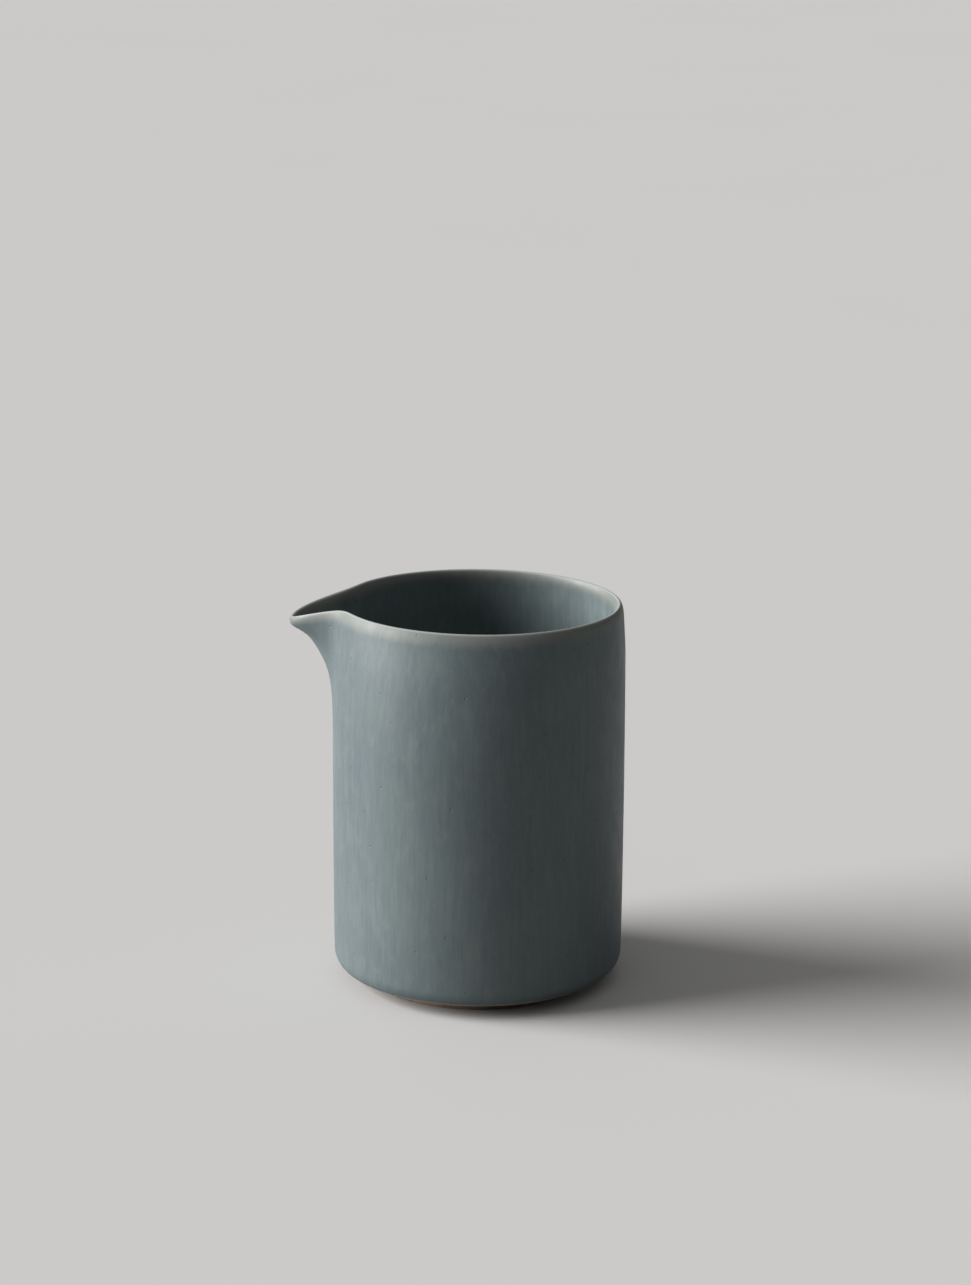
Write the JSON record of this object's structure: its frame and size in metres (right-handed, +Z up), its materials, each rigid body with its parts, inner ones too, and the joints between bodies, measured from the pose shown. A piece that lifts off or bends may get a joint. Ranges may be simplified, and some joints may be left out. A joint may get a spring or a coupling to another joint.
{
  "type": "pouring pitcher",
  "caption": "Small handleless pouring pitcher of glazed stoneware: straight round body, thin oval lip pulled into a drooping spout, trimmed foot ring.",
  "frame": {"origin": "middle of the bounding box's base, on the plane that the foot ring stands on", "axes": "+Z up along the body's axis, the spout points along -X, +Y across"},
  "size_m": [0.0898, 0.08, 0.1065],
  "materials": {
    "fired_clay": "bare fired stoneware, matt, brown",
    "outer_glaze": "satin blue-green grey glaze, faintly streaked",
    "inner_glaze": "satin blue-green grey glaze, a little smoother"
  },
  "bodies": {
    "root": {"stoneware_body": "fired_clay", "outer_glaze": "outer_glaze", "inner_glaze": "inner_glaze"}
  },
  "joints": []
}
